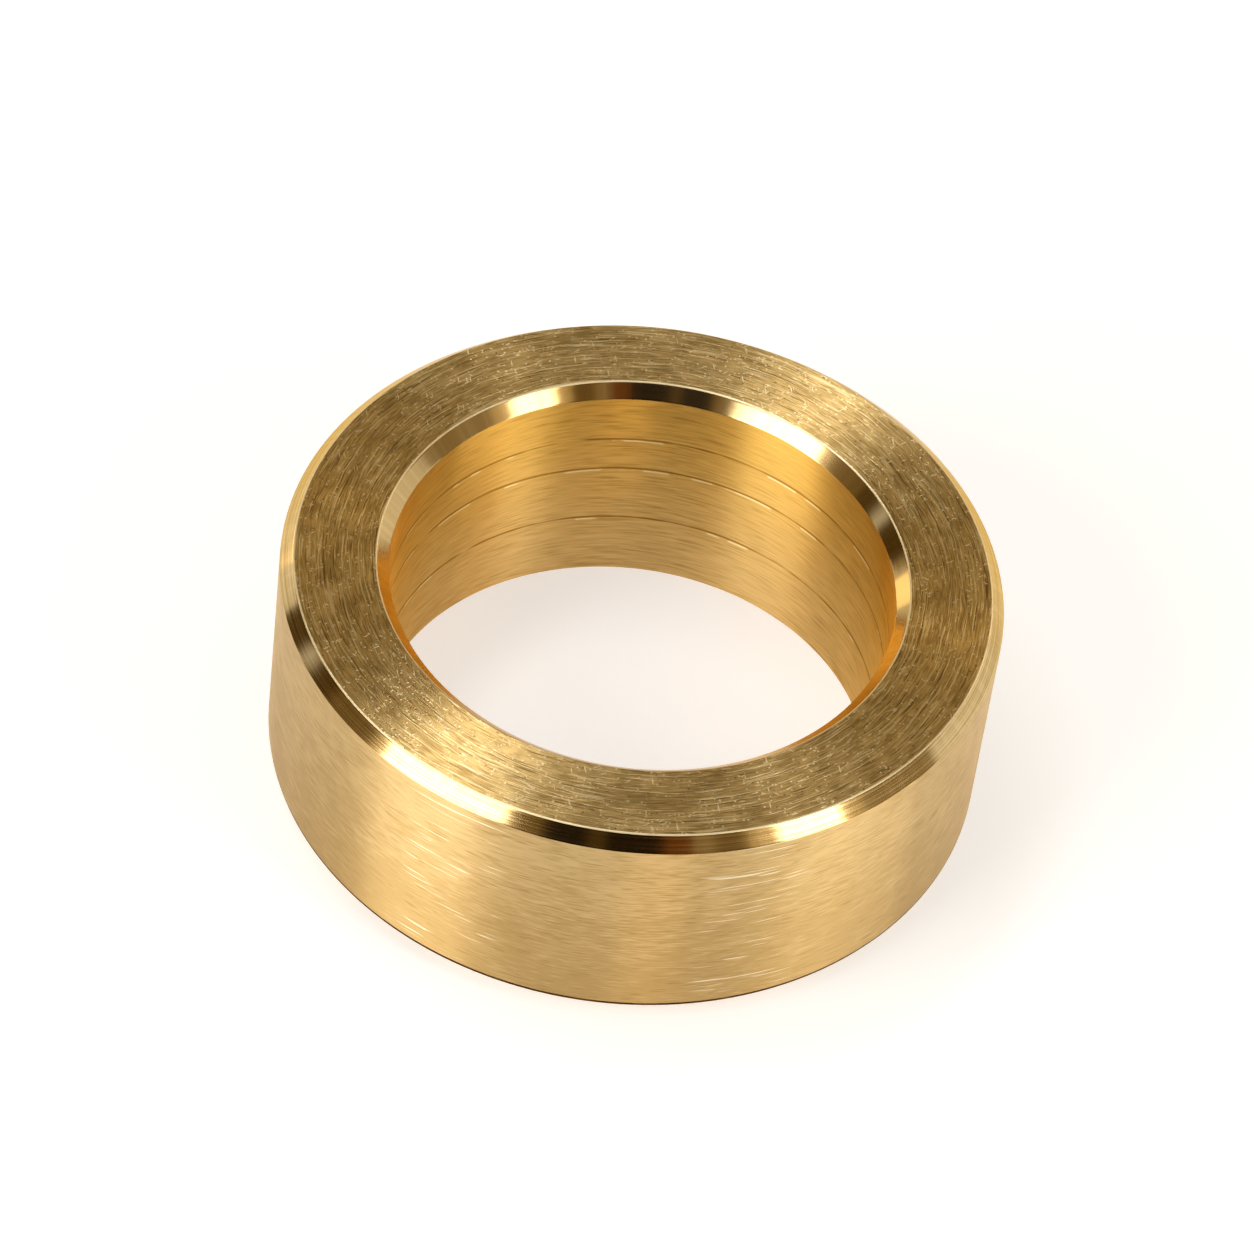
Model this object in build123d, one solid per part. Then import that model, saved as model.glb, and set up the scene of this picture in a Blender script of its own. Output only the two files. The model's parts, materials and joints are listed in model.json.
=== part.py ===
from build123d import *
import os

# A plain turned ring, cut from brass bar in one piece.
# It stands on its lower face at z = 0, and its axis is the Z axis. Sizes are in millimetres.

NODE_NAME = "turned_ring"

OUTER_DIAMETER = 40.0
BORE_DIAMETER = 28.0
LENGTH = 14.5

# Each chamfer is at 45 degrees, so one leg gives its size.
TOP_OUTER_CHAMFER = 0.75
TOP_BORE_CHAMFER = 0.75
LEAD_IN_CHAMFER = 1.25


def wall_section():
    """Draw the wall as a plane through the axis cuts it, with radius along X and height along Y."""
    bore_radius = BORE_DIAMETER / 2
    wall_thickness = OUTER_DIAMETER / 2 - bore_radius
    with BuildSketch(Plane.XZ) as section:
        with Locations((bore_radius, 0)):
            Rectangle(wall_thickness, LENGTH, align=(Align.MIN, Align.MIN))
        lower_corners = section.vertices().group_by(Axis.Y)[0].sort_by(Axis.X)
        top_corners = section.vertices().group_by(Axis.Y)[-1].sort_by(Axis.X)
        chamfer(top_corners[0], TOP_BORE_CHAMFER)
        chamfer(top_corners[-1], TOP_OUTER_CHAMFER)
        chamfer(lower_corners[-1], LEAD_IN_CHAMFER)
    return section.sketch


def turn(section):
    """Spin a wall section about the ring's axis, as the lathe does."""
    with BuildPart() as turned:
        revolve(section, axis=Axis.Z)
    return turned.part


def write_node(solid, name):
    """Write one solid to its own STEP file."""
    os.makedirs("parts", exist_ok=True)
    export_step(solid, f"parts/{name}.step")


ring = turn(wall_section())
write_node(ring, NODE_NAME)
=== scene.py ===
# %% [markdown]
# # A turned brass ring
#
# The real object is a short, thick-walled ring cut from brass bar on a lathe. One end is faced, the outside
# is turned, the middle is bored, and the sharp edges are broken with a chamfer tool.
#
# The sizes come from the ring's solid model, which is loaded first and stays as it is. What this notebook
# adds is everything that a plain solid lacks: rounded edges, tool marks, a finish for each kind of cut and
# a studio to show them in.

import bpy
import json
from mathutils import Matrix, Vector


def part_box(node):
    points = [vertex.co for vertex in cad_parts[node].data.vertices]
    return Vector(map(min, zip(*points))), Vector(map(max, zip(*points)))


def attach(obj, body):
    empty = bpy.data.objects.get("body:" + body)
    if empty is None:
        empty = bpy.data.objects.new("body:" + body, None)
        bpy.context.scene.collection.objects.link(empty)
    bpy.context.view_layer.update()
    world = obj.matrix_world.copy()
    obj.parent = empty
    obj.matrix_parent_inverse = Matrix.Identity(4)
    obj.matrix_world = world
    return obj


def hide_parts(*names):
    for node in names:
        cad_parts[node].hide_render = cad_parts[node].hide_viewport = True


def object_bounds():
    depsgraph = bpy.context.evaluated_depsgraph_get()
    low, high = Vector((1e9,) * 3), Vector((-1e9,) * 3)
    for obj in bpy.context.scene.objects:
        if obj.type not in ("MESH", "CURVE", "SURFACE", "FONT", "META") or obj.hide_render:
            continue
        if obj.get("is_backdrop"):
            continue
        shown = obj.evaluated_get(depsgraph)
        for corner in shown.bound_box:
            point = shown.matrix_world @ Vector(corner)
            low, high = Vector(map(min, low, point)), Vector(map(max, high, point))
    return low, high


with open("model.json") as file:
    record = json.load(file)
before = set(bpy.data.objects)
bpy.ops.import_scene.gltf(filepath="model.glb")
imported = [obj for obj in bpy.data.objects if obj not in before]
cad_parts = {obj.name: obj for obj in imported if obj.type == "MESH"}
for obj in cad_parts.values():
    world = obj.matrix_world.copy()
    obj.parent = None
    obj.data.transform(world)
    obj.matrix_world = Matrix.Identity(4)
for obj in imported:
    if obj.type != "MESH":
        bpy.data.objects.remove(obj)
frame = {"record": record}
cad_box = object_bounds()
print("solid model from", [round(c, 5) for c in cad_box[0]], "to", [round(c, 5) for c in cad_box[1]], "m")

# %% [markdown]
# Everything is scripted with Blender's own modules, so the scene can be made again from nothing. Blender
# works in metres here, and a small part is easier to think about in millimetres, so MM turns one into the
# other.

# %% Tools used below
import json
import math

import bpy
from mathutils import Euler, Matrix, Vector

MM = 0.001
NODE = "turned_ring"

# %% [markdown]
# ## Sizes
#
# A size typed in twice goes wrong the first time that somebody changes it once. So the outside and the
# length are measured on the loaded solid, and the bore and the chamfers are worked out from the part's own
# record, which says where the straight walls begin and end.
#
# The loaded solid is made of flat facets, so it is a few thousandths of a millimetre narrower one way than
# the other. Taking the narrower way keeps the ring inside the solid's box.

# %% Read the sizes
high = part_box(NODE)[1]
mounts = {mount["name"]: mount for mount in frame["record"]["mounts"]}


def wall_ends(mount):
    """Return the lowest and highest point of a straight wall, in metres."""
    half = mount["dims"]["length_mm"] * MM / 2
    middle = mount["pos_m"][2]
    return middle - half, middle + half


outer_radius = min(high.x, high.y)
bore_radius = mounts["bore"]["dims"]["r_mm"] * MM
length = high.z
outside_low, outside_high = wall_ends(mounts["outside"])
bore_low, bore_high = wall_ends(mounts["bore"])
top_outer_chamfer = length - outside_high
top_bore_chamfer = length - bore_high
lead_in = outside_low
print(f"outside {outer_radius * 2:.4f}, bore {bore_radius * 2:.4f}, length {length:.4f} m")
print(f"chamfers: outer {top_outer_chamfer:.5f}, bore {top_bore_chamfer:.5f}, lead-in {lead_in:.5f} m")

# %% [markdown]
# ## Building node trees by script
#
# Shaders, the sky and Geometry Nodes are all trees of nodes. They can be wired by hand in the editor, but a
# script says in one line what takes ten clicks, and it can be read again later. Four small helpers keep the
# cells below readable: `fill` sets one input, `add` makes a node and fills its inputs, and `calc` and
# `vector_calc` each add one sum.

# %% Helpers for node trees
def fill(tree, socket, value):
    """Give an input a plain value, or link another node's output to it."""
    if isinstance(value, bpy.types.NodeSocket):
        tree.links.new(value, socket)
    else:
        socket.default_value = value


def add(tree, kind, inputs=None, **settings):
    """Add a node to a tree, with its settings and its inputs."""
    made = tree.nodes.new(kind)
    for name, value in settings.items():
        setattr(made, name, value)
    for key, value in (inputs or {}).items():
        fill(tree, made.inputs[key], value)
    return made


def calc(tree, operation, *values):
    """Add one sum to a tree and return its result."""
    made = add(tree, "ShaderNodeMath", dict(enumerate(values)), operation=operation)
    return made.outputs[0]


def vector_calc(tree, operation, *values):
    """Add one sum on vectors to a tree and return the node."""
    return add(tree, "ShaderNodeVectorMath", dict(enumerate(values)), operation=operation)

# %% [markdown]
# Four more helpers are about softness and colour. `fade` turns a value into a soft step, `mix_values` adds
# up values by weight, `opaque` gives a plain colour its fourth number, and `blend` goes from one colour to
# another.

# %% Helpers for soft steps and colours
def fade(tree, value, start, end, low=0.0, high=1.0):
    """Turn a value into a soft step from low to high between start and end."""
    return add(tree, "ShaderNodeMapRange", {
        "Value": value, "From Min": start, "From Max": end, "To Min": low, "To Max": high,
    }, interpolation_type="SMOOTHSTEP").outputs[0]


def mix_values(tree, *parts):
    """Add up (value, weight) pairs."""
    total = None
    for value, weight in parts:
        term = calc(tree, "MULTIPLY", value, weight)
        total = term if total is None else calc(tree, "ADD", total, term)
    return total


def opaque(colour):
    """Give a plain red, green, blue colour its fourth number. A linked colour stays as it is."""
    return colour if isinstance(colour, bpy.types.NodeSocket) else (*colour, 1)


def blend(tree, factor, first, second):
    """Mix two colours and return the result."""
    mixed = add(tree, "ShaderNodeMix", {0: factor}, data_type="RGBA")
    fill(tree, mixed.inputs[6], opaque(first))
    fill(tree, mixed.inputs[7], opaque(second))
    return mixed.outputs[2]

# %% [markdown]
# ## The camera
#
# A small part is photographed from a little way off through a long lens, which keeps its circles from
# bulging. The camera looks down at about 47 degrees and leans a little, so the ring's axis leans too.
# The camera's place is built up from three plain moves: tilt, lean, then step back from the point it aims at.

# %% Place the camera
LENS_MM = 172.0
SENSOR_MM = 36.0
CAMERA_DISTANCE = 0.3358
CAMERA_ELEVATION = math.radians(46.57)
CAMERA_LEAN = math.radians(7.7)
AIM = Vector((-0.00053, 0.00241, length / 2))

camera_data = bpy.data.cameras.new("camera")
camera_data.lens = LENS_MM
camera_data.sensor_width = SENSOR_MM
camera_data.clip_start = 0.01
camera = bpy.data.objects.new("camera", camera_data)
bpy.context.scene.collection.objects.link(camera)
tilt = Matrix.Rotation(math.pi / 2 - CAMERA_ELEVATION, 4, "X")
lean = Matrix.Rotation(CAMERA_LEAN, 4, "Z")
away = Vector((0, -math.cos(CAMERA_ELEVATION), math.sin(CAMERA_ELEVATION)))
camera.matrix_world = Matrix.Translation(AIM + away * CAMERA_DISTANCE) @ tilt @ lean
bpy.context.scene.camera = camera
bpy.context.scene.view_settings.view_transform = "Standard"
print("camera at", [round(c, 4) for c in camera.matrix_world.translation])

# %% [markdown]
# ## The studio
#
# Bright metal shows whatever stands around it, so a photographer lights the room, not the part. White cards
# and dark cloths stand round the table. The white ones give the polished chamfers their long light bands,
# and the dark ones give the bands that are nearly black.
#
# Each card could be a real plane, but planes are slow to adjust. Here the cards are one colour ramp that runs
# round the compass, so moving a card means changing one number. Compass degrees run from -180 to 180, with 0
# to the right, 90 behind the ring and -90 in front of it.

# %% Helpers for colour ramps
def gradient(tree, factor, stops):
    """Add a colour ramp with the given (place, brightness or colour) stops."""
    ramp = add(tree, "ShaderNodeValToRGB", {"Fac": factor})
    elements = ramp.color_ramp.elements
    while len(elements) < len(stops):
        elements.new(0.5)
    for element, (place, level) in zip(elements, stops):
        element.position = place
        element.color = (level, level, level, 1) if isinstance(level, float) else opaque(level)
    return ramp.outputs["Color"]


def panels(cards, blur):
    """Turn (compass degrees, colour) card starts into ramp stops with edges of the given blur."""
    stops = []
    for index, (start, level) in enumerate(cards):
        place = (start + 180) / 360
        if index:
            stops.append((place - blur, cards[index - 1][1]))
            stops.append((place + blur, level))
        else:
            stops.append((0.0, level))
    return stops

# %% [markdown]
# The cards themselves come next. A card starts at its compass angle and ends where the next one starts.
# Real studio cards are paper, foil and cloth, so most of these are warm greys and browns and only a few are
# bright. Their edges are slightly blurred, because a card's edge is never quite in line with the part.

# %% Choose the cards
WARM_BRIGHT = (0.75, 0.62, 0.40)
WARM_MID = (0.34, 0.27, 0.16)
WARM_DIM = (0.19, 0.13, 0.05)
WARM_DARK = (0.09, 0.055, 0.012)
AMBER = (0.16, 0.06, 0.010)
BLACK = (0.012, 0.006, 0.001)
NARROW_CARD = 0.60
CARD_BLUR = 0.003
CARDS = [
    (-180, WARM_DIM), (-164, WARM_BRIGHT), (-131, WARM_BRIGHT), (-127, WARM_MID),
    (-117, WARM_DIM), (-110, BLACK), (-96, WARM_DARK), (-91, BLACK),
    (-73, AMBER), (-64, WARM_MID), (-58, WARM_DIM), (-48, WARM_BRIGHT),
    (-15, WARM_MID), (152, WARM_DARK), (166, NARROW_CARD), (171, WARM_DARK),
]
print(len(CARDS), "cards round the table")

# %% [markdown]
# Below the cards, a white table edge runs round the back of the studio. It lights the sides of the polished
# chamfers. Overhead there is a plain grey ceiling. Both are drawn by height: the sky tree splits the viewing
# direction into its compass angle and its height, and picks a colour from each. A pair in the table edge's
# list is a share of the whole turn and how high the edge stands there. Where it lies on the horizon, none of
# it shows above the table.

# %% Hang the cards in the sky
TABLE_EDGE = (0.95, 0.95, 0.95)
HORIZON = 0.0
TABLE_EDGE_HEIGHTS = [
    (0.0, HORIZON), (0.51, HORIZON), (0.52, 0.34), (0.62, 0.34),
    (0.66, 0.19), (0.93, 0.19), (0.94, HORIZON)]
TABLE_EDGE_BLUR = 0.01
CEILING = (0.5, 0.5, 0.5)
CEILING_STARTS, CEILING_FULL = 0.75, 0.90

world = bpy.data.worlds.new("studio")
bpy.context.scene.world = world
world.use_nodes = True
sky = world.node_tree
sky.nodes.clear()
direction = add(sky, "ShaderNodeTexCoord").outputs["Generated"]
way = add(sky, "ShaderNodeSeparateXYZ", {0: direction}).outputs
compass = calc(sky, "ARCTAN2", way["Y"], way["X"])
turned_by = calc(sky, "MULTIPLY_ADD", compass, 1 / math.tau, 0.5)
cards = gradient(sky, turned_by, panels(CARDS, CARD_BLUR))
edge_height = gradient(sky, turned_by, TABLE_EDGE_HEIGHTS)
above_edge = calc(sky, "SUBTRACT", way["Z"], edge_height)
is_table = fade(sky, above_edge, TABLE_EDGE_BLUR, -TABLE_EDGE_BLUR)
is_ceiling = fade(sky, way["Z"], CEILING_STARTS, CEILING_FULL)
room = blend(sky, is_ceiling, blend(sky, is_table, cards, TABLE_EDGE), CEILING)
background = add(sky, "ShaderNodeBackground", {"Color": room, "Strength": 1.0})
add(sky, "ShaderNodeOutputWorld", {"Surface": background.outputs[0]})
print("sky made of", len(sky.nodes), "nodes")

# %% [markdown]
# ## Softboxes
#
# The cards fill the dark side. The main light comes from softboxes: big, evenly bright panels. A wide one at
# the front left and a narrower one at the front right light the outside and give the white bands on the
# chamfers. A long thin one overhead lights the faced end. Low ones near the table reach into the bore.
#
# A softbox is told how bright it should look, not how many watts it burns, so a bigger box is not brighter,
# only broader. A brightness of 1 looks plain white.

# %% Helper for softboxes
LAMP_DISTANCE = 0.6
WHITE = (1, 1, 1)
GOLDEN = (1, 0.76, 0.42)
ORANGE = (1, 0.72, 0.35)


def softbox(name, compass, rise, width, height, brightness, colour=WHITE):
    """Hang a soft lamp that faces the ring, at a compass angle and a rise above the table in degrees."""
    lamp = bpy.data.lights.new(name, "AREA")
    lamp.shape = "RECTANGLE"
    lamp.size = width
    lamp.size_y = height
    lamp.color = colour
    lamp.energy = brightness * math.pi * width * height
    holder = bpy.data.objects.new(name, lamp)
    bpy.context.scene.collection.objects.link(holder)
    turn, rise = math.radians(compass), math.radians(rise)
    towards = Vector((math.cos(turn) * math.cos(rise), math.sin(turn) * math.cos(rise), math.sin(rise)))
    holder.location = Vector((0, 0, length / 2)) + towards * LAMP_DISTANCE
    holder.rotation_euler = (-towards).to_track_quat("-Z", "Y").to_euler()
    print(f"{name}: {width:.3f} x {height:.3f} m, brightness {brightness}")

# %% [markdown]
# The big left-hand box is the key light, which gives the picture its direction. The right-hand one fills in
# the other side. The coloured ones stand for gold and orange reflectors, which photographers use to keep
# brass looking warm.

# %% Hang the softboxes
softbox("key_left", compass=-140.5, rise=30, width=0.34, height=0.36, brightness=4.2)
softbox("fill_right", compass=-31, rise=30, width=0.16, height=0.36, brightness=4.0)
softbox("overhead", compass=150, rise=70, width=0.42, height=0.12, brightness=4.5)
softbox("low_left", compass=-140.5, rise=9, width=0.34, height=0.14, brightness=4.0)
softbox("low_right", compass=-16, rise=9, width=0.26, height=0.14, brightness=4.4)
softbox("gold_reflector", compass=-76, rise=12, width=0.15, height=0.18, brightness=3.0, colour=GOLDEN)
softbox("back_left", compass=141, rise=12, width=0.10, height=0.20, brightness=1.4, colour=GOLDEN)
softbox("back_right", compass=42, rise=24, width=0.08, height=0.20, brightness=3.0, colour=ORANGE)

# %% [markdown]
# ## The floor
#
# The ring stands on pale paper. Lit paper alone comes out as light grey, and turning the lamps up to make it
# white would burn out the brass. So the paper also glows a little, but only as the camera or a reflection
# sees it: a Light Path node keeps that glow off everything that the paper lights.

# %% Lay the floor
FLOOR_SIZE = 6.0
PAPER = (0.65, 0.65, 0.65)
PAPER_GLOW = 0.52

bpy.ops.mesh.primitive_plane_add(size=FLOOR_SIZE, location=(0, 0, 0))
floor = bpy.context.object
floor.name = "floor"
paper = bpy.data.materials.new("white_paper")
paper.use_nodes = True
tree = paper.node_tree
tree.nodes.clear()
path = add(tree, "ShaderNodeLightPath").outputs
looked_at = calc(tree, "MAXIMUM", path["Is Camera Ray"], path["Is Glossy Ray"])
looked_at = calc(tree, "MAXIMUM", looked_at, path["Is Transmission Ray"])
lit = add(tree, "ShaderNodeBsdfDiffuse", {"Color": opaque(PAPER)})
glow = add(tree, "ShaderNodeEmission", {"Color": opaque(WHITE), "Strength": PAPER_GLOW})
glowing = add(tree, "ShaderNodeAddShader", {0: lit.outputs[0], 1: glow.outputs[0]})
mixed = add(tree, "ShaderNodeMixShader", {0: looked_at, 1: lit.outputs[0], 2: glowing.outputs[0]})
add(tree, "ShaderNodeOutputMaterial", {"Surface": mixed.outputs[0]})
floor.data.materials.append(paper)
floor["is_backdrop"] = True
print("floor:", FLOOR_SIZE, "m wide, glow", PAPER_GLOW)

# %% [markdown]
# ## Following the tool
#
# Most marks on a turned part are left by a tool that stands still while the metal turns, so each of them is
# part of a circle round the axis. Machinists call the direction of such marks the lay. To draw them, a
# texture needs to know how far round the ring a point lies and how far across the tool's path.
#
# An angle would jump from 360 back to 0 and leave a seam. So the place round the ring is kept as a point on a
# circle, which has no start and no end. `stretch` scales that circle much less than the distance across, so
# noise spots come out as long thin streaks along the lay.

# %% Place and stretch along the lay
LAY_RADIUS = (outer_radius + bore_radius) / 2


def find_place(tree, across, position):
    """Say where a point lies: round the axis as a point on a unit circle, and across the tool's path."""
    split = add(tree, "ShaderNodeSeparateXYZ", {0: position}).outputs
    flat = add(tree, "ShaderNodeCombineXYZ", {"X": split["X"], "Y": split["Y"]}).outputs[0]
    radius = vector_calc(tree, "LENGTH", flat).outputs["Value"]
    ways = {"radius": radius, "height": split["Z"], "slope": calc(tree, "SUBTRACT", split["Z"], radius)}
    return {
        "x": calc(tree, "DIVIDE", split["X"], radius),
        "y": calc(tree, "DIVIDE", split["Y"], radius),
        "across": ways[across],
        "radius": radius,
        "height": split["Z"],
        "position": position,
    }


def stretch(tree, place, long_mm, wide_mm, seed=0.0, wander=None):
    """Return noise coordinates whose spots come out long round the ring and thin across the lay."""
    around = LAY_RADIUS / (long_mm * MM)
    across = place["across"] if wander is None else calc(tree, "ADD", place["across"], wander)
    return add(tree, "ShaderNodeCombineXYZ", {
        "X": calc(tree, "MULTIPLY", place["x"], around),
        "Y": calc(tree, "MULTIPLY", place["y"], around),
        "Z": calc(tree, "MULTIPLY_ADD", across, 1 / (wide_mm * MM), seed),
    }).outputs[0]

# %% [markdown]
# ## Marks to choose from
#
# Four kinds of mark cover all the finishes, and the first two are noise. Streaks are noise drawn out along
# the lay. A wobble is the slow drift that keeps streaks from looking ruled. Noise is used because real tool
# marks never repeat, while a picture of them would.

# %% Helpers for streaks
def noise(tree, vector, detail=2.0):
    """Add a noise texture and return its value, about 0 to 1."""
    return add(tree, "ShaderNodeTexNoise", {
        "Vector": vector, "Scale": 1.0, "Detail": detail, "Roughness": 0.5}).outputs[0]


def streaks(tree, place, long_mm, wide_mm, seed=0.0, wander=None, detail=1.0):
    """Return noise that runs along the lay, about 0 to 1."""
    return noise(tree, stretch(tree, place, long_mm, wide_mm, seed, wander), detail)


def wobble(tree, place, long_mm, wide_mm, reach_mm, seed=3.0, detail=2.0):
    """Return a small shift across the lay, so that lines drift a little as they run."""
    drift = streaks(tree, place, long_mm, wide_mm, seed=seed, detail=detail)
    return calc(tree, "MULTIPLY", calc(tree, "SUBTRACT", drift, 0.5), reach_mm * MM)

# %% [markdown]
# The other two are scattered. Specks are small dots and dashes, such as the tool leaves where it plucks the
# metal; where the faced end paints them pale, that pale colour is a painted glint. Scuffs are the short
# straight scratches left by handling, which run any way but along the lay. Both start from a Voronoi texture,
# which gives each small cell a point and a random colour: the distance to the point draws the mark, and the
# colour decides whether that cell has one.

# %% Helpers for specks and scuffs
DOT_CORE = 0.4
PICK_EDGE = 0.8


def in_steps(tree, position, step_mm, seed=0.0):
    """Return the position counted in steps of the given size."""
    steps = vector_calc(tree, "MULTIPLY", position, (1 / (step_mm * MM),) * 3).outputs[0]
    return vector_calc(tree, "ADD", steps, (seed,) * 3).outputs[0]


def specks(tree, vector, size, share):
    """Scatter dots: 1 on a dot, 0 between. Size is a part of the step, share the part of places filled."""
    cells = add(tree, "ShaderNodeTexVoronoi", {"Vector": vector, "Scale": 1.0})
    dot = fade(tree, cells.outputs["Distance"], size, size * DOT_CORE)
    pick = add(tree, "ShaderNodeSeparateColor", {0: cells.outputs["Color"]}).outputs[0]
    return calc(tree, "MULTIPLY", dot, fade(tree, pick, 1 - share, 1 - share * PICK_EDGE))


def scuffs(tree, position, heading, long_mm, wide_mm, size, share):
    """Scatter short straight scratches that all run at one heading, in degrees."""
    turned = add(tree, "ShaderNodeVectorRotate", {
        "Vector": position, "Angle": math.radians(heading)}, rotation_type="Z_AXIS").outputs[0]
    steps = (1 / (long_mm * MM), 1 / (wide_mm * MM), 1 / (long_mm * MM))
    return specks(tree, vector_calc(tree, "MULTIPLY", turned, steps).outputs[0], size, share)

# %% [markdown]
# ## Bare brass
#
# Bare metal has no paint over it: the Principled shader is fully metallic, and its base colour is the colour
# of the reflections. The tool marks are far too fine to model one by one, but they still spread light, and
# only across the lay. That is what the Anisotropic input is for. A Tangent node set to radial about Z tells
# the shader which way is round the ring, and a quarter turn puts the spread across it.
#
# Seen almost edge on, most metals reflect white. `Specular Tint` keeps the edge-on colour gold where the
# surface is polished.

# %% Helpers for brass finishes
GRAZING_GOLD = (0.90, 0.72, 0.42)
ACROSS_THE_LAY = 0.25


def brass(name, spread, grazing=GRAZING_GOLD):
    """Start a bare brass material and return it with its tree and shader."""
    material = bpy.data.materials.new(name)
    material.use_nodes = True
    tree = material.node_tree
    tree.nodes.clear()
    shader = add(tree, "ShaderNodeBsdfPrincipled", {
        "Metallic": 1.0, "Specular Tint": opaque(grazing),
        "Anisotropic": spread, "Anisotropic Rotation": ACROSS_THE_LAY})
    lay = add(tree, "ShaderNodeTangent", direction_type="RADIAL", axis="Z")
    fill(tree, shader.inputs["Tangent"], lay.outputs[0])
    add(tree, "ShaderNodeOutputMaterial", {"Surface": shader.outputs[0]})
    return material, tree, shader


def start_place(tree, across):
    """Return the place of a point on the object, for a finish whose tool moved across the given way."""
    return find_place(tree, across, add(tree, "ShaderNodeTexCoord").outputs["Object"])


def finish(tree, shader, colour, roughness, height, depth_mm):
    """Give a finish its colour and roughness, and press a height pattern of the given depth into it."""
    bump = add(tree, "ShaderNodeBump", {"Height": height, "Strength": 1.0, "Distance": depth_mm * MM})
    fill(tree, shader.inputs["Base Color"], opaque(colour))
    fill(tree, shader.inputs["Roughness"], roughness)
    fill(tree, shader.inputs["Normal"], bump.outputs[0])

# %% [markdown]
# ## The faced end
#
# Facing sweeps the tool from the outside in while the ring turns, and this end looks as if it was then rubbed
# flat. It has the coarsest marks of the four finishes: an olive-brown ground, bright and dark lines that run
# with the lay, and many small dots, dashes and scuffs, as if plucked or scratched. These are pressed in as
# bumps and painted pale, and on the dots and dashes the pale colour is a painted glint.
#
# The marks come first. All of them are drawn from the distance to the axis, plus a wobble. A slow cloud
# gathers the dots into groups, because an even scatter looks printed.

# %% Marks on the faced end
SCUFFS = ((20, 0.6), (75, 1.1), (140, 0.8))

faced, tree, shader = brass("brass_faced", spread=1.0)
place = start_place(tree, across="radius")
wander = wobble(tree, place, long_mm=3.2, wide_mm=1.2, reach_mm=0.38)
grain = streaks(tree, place, long_mm=0.8, wide_mm=0.07, wander=wander)
light = streaks(tree, place, long_mm=3.4, wide_mm=0.095, seed=60.0, wander=wander, detail=2.0)
light = fade(tree, light, start=0.57, end=0.65)
dark = streaks(tree, place, long_mm=3.0, wide_mm=0.10, seed=90.0, wander=wander, detail=2.0)
dark = fade(tree, dark, start=0.57, end=0.67)
cloud = noise(tree, in_steps(tree, place["position"], step_mm=1.6))
dots = specks(tree, in_steps(tree, place["position"], step_mm=0.26), size=0.32, share=0.7)
dashes = specks(tree, stretch(tree, place, long_mm=1.0, wide_mm=0.26, seed=7.0), size=0.24, share=0.7)
dots = calc(tree, "MULTIPLY", calc(tree, "MAXIMUM", dots, dashes), fade(tree, cloud, start=0.36, end=0.52))
pits = specks(tree, in_steps(tree, place["position"], step_mm=0.30, seed=40.0), size=0.28, share=0.25)
scuffed = None
for heading, long_mm in SCUFFS:
    some = scuffs(tree, place["position"], heading, long_mm, wide_mm=0.14, size=0.33, share=0.12)
    scuffed = some if scuffed is None else calc(tree, "MAXIMUM", scuffed, some)
scuffed = calc(tree, "MULTIPLY", scuffed, fade(tree, cloud, start=0.38, end=0.52, low=0.2))
marks = calc(tree, "MAXIMUM", dots, scuffed)

# %% [markdown]
# The same marks then do three jobs at once, as they do on real metal: a raised line is brighter, catches a
# different part of the room, and is a little rougher or smoother than the ground beside it.

# %% Finish of the faced end
FACE_GROUND = (0.45, 0.29, 0.10)
FACE_WORN = (0.80, 0.55, 0.22)
FACE_DARK_LINE = (0.16, 0.09, 0.025)
FACE_LIGHT_LINE = (1.0, 0.80, 0.44)
# Painted glint: the pale colour of the dots and dashes, which the scuffs share.
FACE_SCUFF_AND_GLINT = (1.0, 0.84, 0.50)
FACE_LINE_STRENGTH = 0.7
FACE_DEPTH_MM = 0.013

tone = mix_values(tree, (grain, 0.6), (cloud, 0.4))
colour = blend(tree, fade(tree, tone, start=0.35, end=0.65), FACE_GROUND, FACE_WORN)
dark_marks = calc(tree, "MULTIPLY", calc(tree, "MAXIMUM", dark, pits), FACE_LINE_STRENGTH)
colour = blend(tree, dark_marks, colour, FACE_DARK_LINE)
colour = blend(tree, calc(tree, "MULTIPLY", light, FACE_LINE_STRENGTH), colour, FACE_LIGHT_LINE)
# The dots, dashes and scuffs are painted pale here; on the dots and dashes this is a painted glint.
colour = blend(tree, marks, colour, FACE_SCUFF_AND_GLINT)
matt = fade(tree, grain, start=0.25, end=0.75, low=0.34, high=0.28)
roughness = mix_values(tree, (matt, 1.0), (marks, 0.3))
height = mix_values(tree, (grain, 0.5), (light, 0.7), (dark, -0.7), (marks, 0.4), (pits, -0.3))
finish(tree, shader, colour, roughness, height, FACE_DEPTH_MM)
print("finish:", faced.name)

# %% [markdown]
# ## The turned outside
#
# The marks on the outside are closer and shallower, as a fine feed leaves them, and it looks satin. Its lines
# follow the height. Fine brown lines and a soft mottle keep it from looking like plastic, and it is painted a
# little darker low down, as painted shade for the shadowed floor that the lower wall reflects. In two places
# it has long, bright scratches, such as a vice or a bench makes.

# %% Helper for scratched places
SCRATCHED_AT = (-66, -114)
SCRATCH_REACH = (6, 10)


def near(tree, place, compass):
    """Return 1 round a compass direction, fading to 0 outside the scratch reach, all in degrees."""
    turn = math.radians(compass)
    round_ring = add(tree, "ShaderNodeCombineXYZ", {"X": place["x"], "Y": place["y"]}).outputs[0]
    towards = vector_calc(tree, "DOT_PRODUCT", round_ring, (math.cos(turn), math.sin(turn), 0))
    inner, outer = (math.cos(math.radians(reach)) for reach in SCRATCH_REACH)
    return fade(tree, towards.outputs["Value"], start=outer, end=inner)

# %% [markdown]
# The marks on the outside are those of the face, drawn finer. A patchy cloud that is wider than it is high
# gives the mottle, and the scratches are streaks that only show where they pass a high value, inside the
# scratched places.

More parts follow.
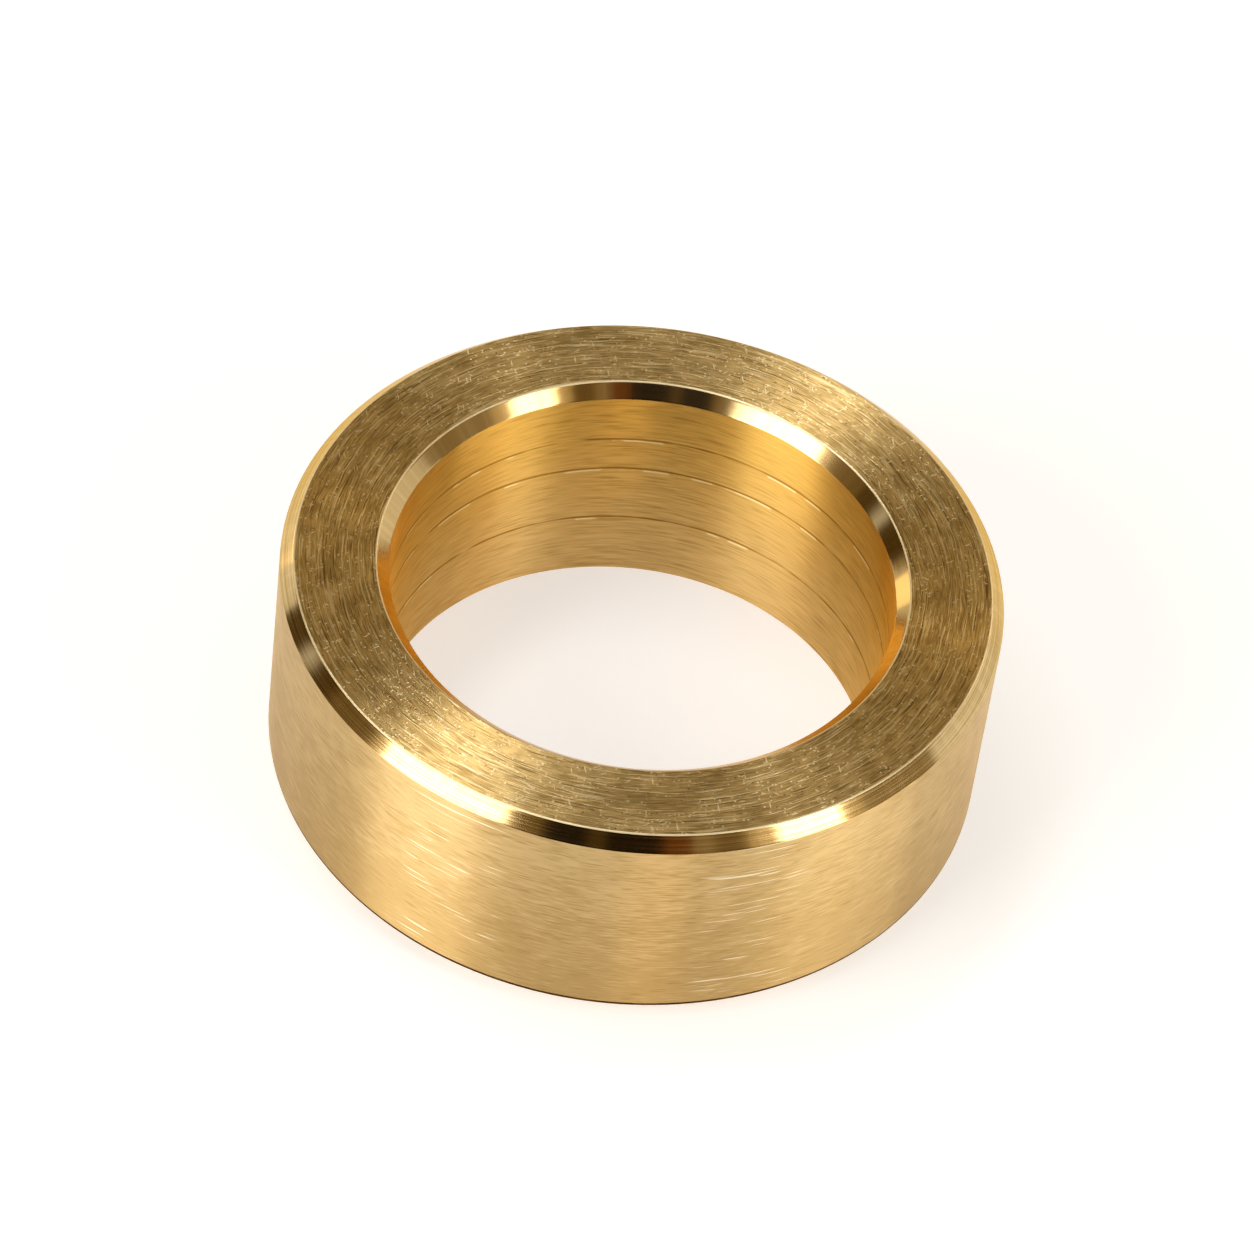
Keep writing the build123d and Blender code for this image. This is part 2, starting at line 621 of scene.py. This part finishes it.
# %% Marks on the outside
turned, tree, shader = brass("brass_turned", spread=1.0, grazing=WHITE)
place = start_place(tree, across="height")
wander = wobble(tree, place, long_mm=5.0, wide_mm=1.5, reach_mm=0.35)
grain = streaks(tree, place, long_mm=0.9, wide_mm=0.07, wander=wander)
cloud = streaks(tree, place, long_mm=2.0, wide_mm=1.6, seed=5.0, detail=3.0)
dark = streaks(tree, place, long_mm=1.3, wide_mm=0.09, seed=51.0, wander=wander, detail=2.0)
dark = fade(tree, dark, start=0.57, end=0.68)
scratch = streaks(tree, place, long_mm=3.5, wide_mm=0.12, seed=31.0, wander=wander)
patches = calc(tree, "MAXIMUM", *(near(tree, place, compass) for compass in SCRATCHED_AT))
scratch = calc(tree, "MULTIPLY", fade(tree, scratch, start=0.66, end=0.70), patches)
# Painted shade: this mask darkens the colour towards the bottom of the outside.
shade_low_down = fade(tree, place["height"], start=outside_high, end=outside_low)

# %% [markdown]
# As on the face, the same marks drive the colour, the roughness and the bump. The bump is three times
# shallower than the face's, so the light bands on this wall stay whole.

# %% Finish of the outside
OUTSIDE_GROUND = (0.59, 0.39, 0.15)
OUTSIDE_WORN = (0.74, 0.52, 0.23)
OUTSIDE_DARK_LINE = (0.42, 0.24, 0.07)
OUTSIDE_SCRATCH = (1.0, 0.86, 0.58)
OUTSIDE_LINE_STRENGTH = 0.5
OUTSIDE_DEPTH_MM = 0.004

# The low part of the outside is painted darker here, as painted shade.
tone = mix_values(tree, (grain, 0.6), (cloud, 0.4), (shade_low_down, -0.18))
colour = blend(tree, fade(tree, tone, start=0.30, end=0.60), OUTSIDE_GROUND, OUTSIDE_WORN)
colour = blend(tree, calc(tree, "MULTIPLY", dark, OUTSIDE_LINE_STRENGTH), colour, OUTSIDE_DARK_LINE)
colour = blend(tree, scratch, colour, OUTSIDE_SCRATCH)
roughness = fade(tree, grain, start=0.3, end=0.7, low=0.37, high=0.33)
height = mix_values(tree, (grain, 0.7), (scratch, 0.6), (dark, -0.6))
finish(tree, shader, colour, roughness, height, OUTSIDE_DEPTH_MM)
print("finish:", turned.name)

# %% [markdown]
# ## The bored wall
#
# A boring bar reaches in through the hole. The wall it leaves has the faintest marks of all, so the streaks
# are faint here and the light bands run straight down. Three thin rings run round the wall, such as a bar
# leaves where it pauses. They are cut into the geometry further down, so their heights are worked out once,
# here, for both uses.

# %% Place the rings
RING_HEIGHTS = (0.23, 0.40, 0.69)
GROOVE_WIDTH = 0.14 * MM
GROOVE_DEPTH = 0.010 * MM
RING_EDGE, RING_CORE = 0.7 * GROOVE_WIDTH, 0.2 * GROOVE_WIDTH
groove_middles = sorted(bore_high - share * (bore_high - bore_low) for share in RING_HEIGHTS)
print("rings at", [round(middle, 5) for middle in groove_middles], "m")


def rings(tree, height, middles):
    """Mark thin rings at the given heights: 1 on a ring, 0 between."""
    nearest = None
    for middle in middles:
        off = calc(tree, "ABSOLUTE", calc(tree, "SUBTRACT", height, middle))
        nearest = off if nearest is None else calc(tree, "MINIMUM", nearest, off)
    return fade(tree, nearest, start=RING_EDGE, end=RING_CORE)

# %% [markdown]
# Each ring's groove is painted dark, as painted shade in the groove, and in places a bright dash is painted
# just below each groove, as a painted glint on its lower lip. Both are broken up by a slow noise, as an
# unbroken line would look drawn. The wall is painted a warmer amber near its mouth and paler deeper down, as
# a painted reflection of the warm light that the bore's walls throw at each other, and the depth below the
# mouth will mix that in.

# %% Marks in the bore
RING_WAVER = 0.4
LIP_BELOW = 1.1 * GROOVE_WIDTH

bored, tree, shader = brass("brass_bored", spread=1.0)
place = start_place(tree, across="height")
wander = wobble(tree, place, long_mm=8.0, wide_mm=1.5, reach_mm=0.25, seed=13.0, detail=1.0)
grain = streaks(tree, place, long_mm=2.0, wide_mm=0.10, wander=wander)
dark = streaks(tree, place, long_mm=3.0, wide_mm=0.14, seed=51.0, wander=wander)
dark = fade(tree, dark, start=0.58, end=0.72)
broken = streaks(tree, place, long_mm=3.0, wide_mm=3.0, seed=19.0, detail=2.0)
waved = calc(tree, "MULTIPLY_ADD", wander, RING_WAVER, place["height"])
# Painted shade: a dark ring is painted along each groove, broken up by noise.
groove_shade = rings(tree, waved, groove_middles)
groove_shade = calc(tree, "MULTIPLY", groove_shade, fade(tree, broken, start=0.25, end=0.55))
# Painted reflection: this depth mask makes the wall amber near the mouth and paler deeper down.
depth = fade(tree, place["height"], start=bore_high, end=bore_low)
# Painted glint: in places a pale dash is painted just below each groove.
dashes = rings(tree, waved, [middle - LIP_BELOW for middle in groove_middles])
dashes = calc(tree, "MULTIPLY", dashes, fade(tree, broken, start=0.55, end=0.60))

# %% [markdown]
# The bore's colour goes from a dark to a bright tone with the marks. The bump stays very shallow, because a
# deep one would break up the light bands. The roughness is a little above the outside's, which makes the
# bands broad and soft.

# %% Finish of the bore
BORE_DARK = (0.40, 0.21, 0.038)
# Painted reflection: the amber near the mouth stands in for light that the bore's walls throw at each other.
BORE_MOUTH_PAINTED_AMBER = (0.84, 0.52, 0.12)
BORE_DEEP = (0.84, 0.58, 0.23)
# Painted glint: the colour of the dashes below the grooves.
BORE_GLINT = (1.0, 0.80, 0.40)
BORE_DEPTH_MM = 0.0005

# The grooves' mask darkens the colour here, as painted shade.
tone = mix_values(tree, (grain, 0.3), (dark, -0.08), (groove_shade, -0.30))
ground = blend(tree, depth, BORE_MOUTH_PAINTED_AMBER, BORE_DEEP)
colour = blend(tree, fade(tree, tone, start=-0.15, end=0.25), BORE_DARK, ground)
colour = blend(tree, dashes, colour, BORE_GLINT)
roughness = fade(tree, grain, start=0.3, end=0.7, low=0.42, high=0.38)
height = mix_values(tree, (grain, 1.0), (dark, -0.5))
finish(tree, shader, colour, roughness, height, BORE_DEPTH_MM)
print("finish:", bored.name)

# %% [markdown]
# ## The bright chamfers
#
# A chamfer tool has a long straight edge and cuts its whole face at once, so a chamfer comes out almost
# polished. It is the part of the ring that mirrors the studio's cards. Very fine lines along it and a trace
# of chatter across it are all that tell it from a mirror.

# %% Finish of the chamfers
CHAMFER_DARK = (0.54, 0.36, 0.14)
CHAMFER_BRIGHT = (0.78, 0.57, 0.28)
CHAMFER_DEPTH_MM = 0.0004

bright, tree, shader = brass("brass_bright", spread=0.6)
place = start_place(tree, across="slope")
fine = streaks(tree, place, long_mm=9.0, wide_mm=0.10, detail=2.0)
chatter = streaks(tree, place, long_mm=0.55, wide_mm=4.0, seed=9.0, detail=2.0)
tone = mix_values(tree, (fine, 0.94), (fade(tree, chatter, start=0.45, end=0.65), 0.06))
colour = blend(tree, fade(tree, tone, start=0.32, end=0.68), CHAMFER_DARK, CHAMFER_BRIGHT)
roughness = fade(tree, fine, start=0.3, end=0.7, low=0.11, high=0.15)
finish(tree, shader, colour, roughness, fine, CHAMFER_DEPTH_MM)
print("finish:", bright.name)

# %% [markdown]
# ## Edges with a painted highlight, and the foot with painted shade
#
# No real edge is perfectly sharp. The narrow roundings, chiefly the two at the top, are painted a pale brass,
# a painted highlight that makes them shine as thin pale lines under any light, which is what makes the ring
# look solid. The rounding at the foot is painted dark instead, as painted shade for the shadowed floor that
# it reflects. Both are so narrow that an even colour would do, but a little noise keeps them from looking
# drawn.

# %% Finish of the edges
# Painted highlight: the two edge colours are paler than the rest of the brass.
EDGE_HIGHLIGHT_BRIGHT = (1.0, 0.84, 0.52)
EDGE_HIGHLIGHT_SOFT = (0.86, 0.70, 0.42)
EDGE_GRAZING = (0.6, 0.4, 0.2)
# Painted shade: the foot's two colours and its grazing tint are painted dark.
FOOT_SHADE_DEEP = (0.10, 0.045, 0.010)
FOOT_SHADE_BRASS = (0.20, 0.10, 0.02)
FOOT_SHADE_GRAZING = (0.3, 0.2, 0.1)
EDGE_DEPTH_MM = 0.0005


def edge_finish(name, grazing, first, second):
    """Make a narrow finish whose colour goes from first to second in short streaks."""
    material, tree, shader = brass(name, spread=0.0, grazing=grazing)
    place = start_place(tree, across="height")
    patchy = streaks(tree, place, long_mm=1.2, wide_mm=0.6, detail=2.0)
    colour = blend(tree, fade(tree, patchy, start=0.30, end=0.50), first, second)
    finish(tree, shader, colour, fade(tree, patchy, 0.3, 0.7, low=0.48, high=0.40), patchy, EDGE_DEPTH_MM)
    print("finish:", material.name)
    return material


# The edges' pale colours are a painted highlight, so that they read as bright lines under any light.
edge = edge_finish("brass_edge", EDGE_GRAZING, EDGE_HIGHLIGHT_SOFT, EDGE_HIGHLIGHT_BRIGHT)
# The foot's dark colours stand in for the shadowed floor that it reflects, as painted shade.
foot = edge_finish("brass_foot", FOOT_SHADE_GRAZING, FOOT_SHADE_BRASS, FOOT_SHADE_DEEP)

# %% [markdown]
# ## The wall's section
#
# A turned part is fully described by half of its section: one closed line that, spun once round the axis,
# becomes the whole solid. So the shape is drawn as a single curve in the XZ plane. It could be modelled from
# a cylinder with bevels, but then each chamfer would be a separate setting, and the grooves would be hard to
# place. The three thin grooves in the bore are points on the same line.

# %% Helper for the grooves
def bore_grooves():
    """List the section points of the thin grooves round the bore, from the bottom up."""
    points = []
    for middle in groove_middles:
        points.append((bore_radius, middle - GROOVE_WIDTH / 2))
        points.append((bore_radius + GROOVE_DEPTH, middle))
        points.append((bore_radius, middle + GROOVE_WIDTH / 2))
    return points

# %% [markdown]
# The line starts at the foot of the bore, climbs the bore with its grooves, crosses the faced end between the
# two top chamfers, comes down the outside and closes along the foot. A point's first number is its distance
# to the axis, and its second is its height.

# %% Draw the section
corners = [
    (bore_radius, 0),
    *bore_grooves(),
    (bore_radius, bore_high),
    (bore_radius + top_bore_chamfer, length),
    (outer_radius - top_outer_chamfer, length),
    (outer_radius, outside_high),
    (outer_radius, lead_in),
    (outer_radius - lead_in, 0),
]
curve = bpy.data.curves.new("wall_section", "CURVE")
curve.dimensions = "3D"
spline = curve.splines.new("POLY")
spline.points.add(len(corners) - 1)
for point, (radius, level) in zip(spline.points, corners):
    point.co = (radius, 0, level, 1)
spline.use_cyclic_u = True
section = bpy.data.objects.new("wall_section", curve)
bpy.context.scene.collection.objects.link(section)
print("section corners:", len(corners))

# %% [markdown]
# ## A lathe made of nodes
#
# The lathe is a Geometry Nodes tree. It takes the section and turns it into the ring, so that any other
# section would give any other turned part. A Screw modifier could spin a curve too, but the tree can also
# round the corners, cut the tool marks and tell the finishes apart in the same pass.
#
# Its inputs are the numbers that somebody would want to change.

# %% Inputs of the lathe
lathe = bpy.data.node_groups.new("lathe", "GeometryNodeTree")
LATHE_INPUTS = {
    "Section": "NodeSocketGeometry",
    "Axis Distance": "NodeSocketFloat",
    "Edge Radius": "NodeSocketFloat",
    "Top Edge Radius": "NodeSocketFloat",
    "Foot Edge Radius": "NodeSocketFloat",
    "Wall Step": "NodeSocketFloat",
    "Sides": "NodeSocketInt",
    "Mark Depth": "NodeSocketFloat",
}
for name, kind in LATHE_INPUTS.items():
    lathe.interface.new_socket(name, in_out="INPUT", socket_type=kind)
lathe.interface.new_socket("Ring", in_out="OUTPUT", socket_type="NodeSocketGeometry")
given = lathe.nodes.new("NodeGroupInput").outputs
here = lathe.nodes.new("GeometryNodeInputPosition").outputs[0]

# %% [markdown]
# First the corners are rounded with a fillet, each by its own radius: most only a little, the two at the
# faced end more, because handling wears them, and the one above the lead-in the most.

# %% Round the corners
HEIGHT_SLACK = 0.05 * MM
FILLET_POINTS = 4

level = add(lathe, "ShaderNodeSeparateXYZ", {0: here}).outputs["Z"]
is_top = calc(lathe, "COMPARE", level, length, HEIGHT_SLACK)
is_foot_corner = calc(lathe, "COMPARE", level, outside_low, HEIGHT_SLACK)
top_radius = calc(lathe, "MULTIPLY", is_top, given["Top Edge Radius"])
foot_radius = calc(lathe, "MULTIPLY", is_foot_corner, given["Foot Edge Radius"])
corner_radius = calc(lathe, "MAXIMUM", given["Edge Radius"], calc(lathe, "MAXIMUM", top_radius, foot_radius))
rounded = add(lathe, "GeometryNodeFilletCurve", {
    "Curve": given["Section"], "Radius": corner_radius, "Count": FILLET_POINTS, "Limit Radius": True,
}, mode="POLY").outputs[0]
print("corners rounded with", FILLET_POINTS, "points each")

# %% [markdown]
# Tool marks need points to move, and a straight wall has points only at its ends. So each straight run is
# cut into steps of about equal length. The number of cuts comes from the distance to the next point.

# %% Cut the straight runs into steps
index = lathe.nodes.new("GeometryNodeInputIndex").outputs[0]
count = add(lathe, "GeometryNodeAttributeDomainSize", {"Geometry": rounded}, component="CURVE")
following = calc(lathe, "MODULO", calc(lathe, "ADD", index, 1), count.outputs["Point Count"])
ahead = add(lathe, "GeometryNodeFieldAtIndex", {"Index": following, "Value": here}, data_type="FLOAT_VECTOR")
run = vector_calc(lathe, "DISTANCE", here, ahead.outputs[0]).outputs["Value"]
cuts = calc(lathe, "FLOOR", calc(lathe, "DIVIDE", run, given["Wall Step"]))
stepped = add(lathe, "GeometryNodeSubdivideCurve", {"Curve": rounded, "Cuts": cuts}).outputs[0]

# %% [markdown]
# Curve to Mesh carries a flat profile along a rail. The rail is a circle round the axis, and the profile is
# the section, laid flat and moved in by the rail's radius so that it ends up where it was drawn.

# %% Spin the section
to_rail = add(lathe, "ShaderNodeCombineXYZ", {"X": calc(lathe, "MULTIPLY", given["Axis Distance"], -1.0)})
laid_flat = add(lathe, "GeometryNodeTransform", {
    "Geometry": stepped, "Translation": to_rail.outputs[0], "Rotation": Euler((math.pi / 2, 0, 0))})
rail = add(lathe, "GeometryNodeCurvePrimitiveCircle", {
    "Resolution": given["Sides"], "Radius": given["Axis Distance"]})
spun = add(lathe, "GeometryNodeCurveToMesh", {
    "Curve": rail.outputs["Curve"], "Profile Curve": laid_flat.outputs[0]}).outputs[0]
smooth = add(lathe, "GeometryNodeSetShadeSmooth", {"Geometry": spun}).outputs[0]
print("lathe so far:", len(lathe.nodes), "nodes")

# %% [markdown]
# Which finish a face gets follows from the way it faces, so no face has to be picked by hand. Flat faces are
# the ends, upright ones are the walls, and those between are the chamfers. The answers are stored on the
# faces as named attributes before the tool marks tilt them.

# %% Tell the surfaces apart
STEEPEST_END, SHALLOWEST_CHAMFER, SHALLOWEST_WALL = 0.98, 0.76, 0.50
FOOT_FROM, FOOT_TO = -0.03, -0.69

normal = lathe.nodes.new("GeometryNodeInputNormal").outputs[0]
facing = add(lathe, "ShaderNodeSeparateXYZ", {0: normal}).outputs["Z"]
flatness = calc(lathe, "ABSOLUTE", facing)
place = find_place(lathe, "slope", here)
is_wall = calc(lathe, "LESS_THAN", flatness, SHALLOWEST_WALL)
is_outer = calc(lathe, "GREATER_THAN", place["radius"], LAY_RADIUS)
is_inner = calc(lathe, "SUBTRACT", 1.0, is_outer)
is_under = calc(lathe, "LESS_THAN", facing, FOOT_FROM)
is_foot = calc(lathe, "MULTIPLY", is_under, calc(lathe, "GREATER_THAN", facing, FOOT_TO))
surfaces = {
    "chamfer": calc(lathe, "LESS_THAN", flatness, SHALLOWEST_CHAMFER),
    "end": calc(lathe, "GREATER_THAN", flatness, STEEPEST_END),
    "turned": calc(lathe, "MULTIPLY", is_wall, is_outer),
    "bored": calc(lathe, "MULTIPLY", is_wall, is_inner),
    "foot": calc(lathe, "MULTIPLY", is_foot, is_outer),
}
shape = smooth
for name, choice in surfaces.items():
    store = add(lathe, "GeometryNodeStoreNamedAttribute", {"Geometry": shape, "Name": name},
                data_type="BOOLEAN", domain="FACE")
    value = next(socket for socket in store.inputs if socket.name == "Value" and socket.enabled)
    fill(lathe, value, choice)
    shape = store.outputs[0]
print("surfaces:", ", ".join(surfaces))

# %% [markdown]
# The tool marks are real geometry: every point is pushed in along its normal by up to three thousandths of a
# millimetre. They only ever go inwards, because a tool takes metal away, and so the ring never grows past
# its solid. One noise serves all the surfaces: it is read along a slanting line through height and radius,
# so that a wall, an end and a chamfer each see it change across their own lay.

# %% Cut the tool marks
MARK_LONG = 6 * MM
MARK_WIDE = 0.28 * MM
SLANT = 1.37

slanting = calc(lathe, "MULTIPLY_ADD", place["height"], SLANT, place["radius"])
around = LAY_RADIUS / MARK_LONG
mark_place = add(lathe, "ShaderNodeCombineXYZ", {
    "X": calc(lathe, "MULTIPLY", place["x"], around),
    "Y": calc(lathe, "MULTIPLY", place["y"], around),
    "Z": calc(lathe, "DIVIDE", slanting, MARK_WIDE)}).outputs[0]
cut = calc(lathe, "SUBTRACT", noise(lathe, mark_place, detail=1.0), 1.0)
push = vector_calc(lathe, "SCALE", normal)
fill(lathe, push.inputs["Scale"], calc(lathe, "MULTIPLY", cut, given["Mark Depth"]))
marked = add(lathe, "GeometryNodeSetPosition", {"Geometry": shape, "Offset": push.outputs[0]}).outputs[0]
print(f"tool marks about {MARK_WIDE / MM:.2f} mm wide and {MARK_LONG / MM:.0f} mm long")

# %% [markdown]
# Last, the finishes go on. The edge finish covers everything first, and the named surfaces are painted over
# it, so only the narrow roundings that belong to no surface keep it.

# %% Paint the surfaces
shape = add(lathe, "GeometryNodeRealizeInstances", {"Geometry": marked}).outputs[0]
shape = add(lathe, "GeometryNodeSetMaterial", {"Geometry": shape, "Material": edge}).outputs[0]
finishes = {"chamfer": bright, "end": faced, "turned": turned, "bored": bored, "foot": foot}
for name, material in finishes.items():
    found = add(lathe, "GeometryNodeInputNamedAttribute", {"Name": name}, data_type="BOOLEAN")
    shape = add(lathe, "GeometryNodeSetMaterial", {
        "Geometry": shape, "Selection": found.outputs["Attribute"], "Material": material}).outputs[0]
add(lathe, "NodeGroupOutput", {0: shape})
print("lathe complete:", len(lathe.nodes), "nodes")

# %% [markdown]
# ## Turn the ring
#
# A modifier runs the lathe on the section. Its values are set by each input's identifier, before anything is
# evaluated, so the ring is built only once. The result is then copied out as a plain mesh, and the modifier
# goes.

# %% Run the lathe
settings = {
    "Axis Distance": bore_radius,
    "Edge Radius": 0.03 * MM,
    "Top Edge Radius": 0.18 * MM,
    "Foot Edge Radius": 0.45 * MM,
    "Wall Step": 0.105 * MM,
    "Sides": 200,
    "Mark Depth": 0.003 * MM,
}
spin = section.modifiers.new("lathe", "NODES")
spin.node_group = lathe
for item in lathe.interface.items_tree:
    if item.name in settings:
        spin[item.identifier] = settings[item.name]
evaluated = section.evaluated_get(bpy.context.evaluated_depsgraph_get())
mesh = bpy.data.meshes.new_from_object(evaluated)
section.modifiers.remove(spin)
bpy.data.objects.remove(section)
ring = bpy.data.objects.new("brass_ring", mesh)
bpy.context.scene.collection.objects.link(ring)
triangles = sum(len(face.vertices) - 2 for face in mesh.polygons)
print("ring:", len(mesh.vertices), "points,", triangles, "triangles,", len(mesh.materials), "finishes")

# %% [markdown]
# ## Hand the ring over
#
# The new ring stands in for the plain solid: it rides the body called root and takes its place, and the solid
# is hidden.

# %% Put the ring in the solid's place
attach(ring, "root")
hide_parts(NODE)
print(ring.name, "stands in for", NODE)

# %% [markdown]
# ## The size of the ring
#
# The dressed ring must stay inside the solid's box, or it would no longer fit where the solid does. Both
# boxes are printed side by side, so that anybody can compare them.

# %% Print the sizes
looks_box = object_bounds()
sizes = {"cad": [list(corner) for corner in cad_box], "looks": [list(corner) for corner in looks_box]}
for name, box in sizes.items():
    print(name, [[round(c, 5) for c in corner] for corner in box])
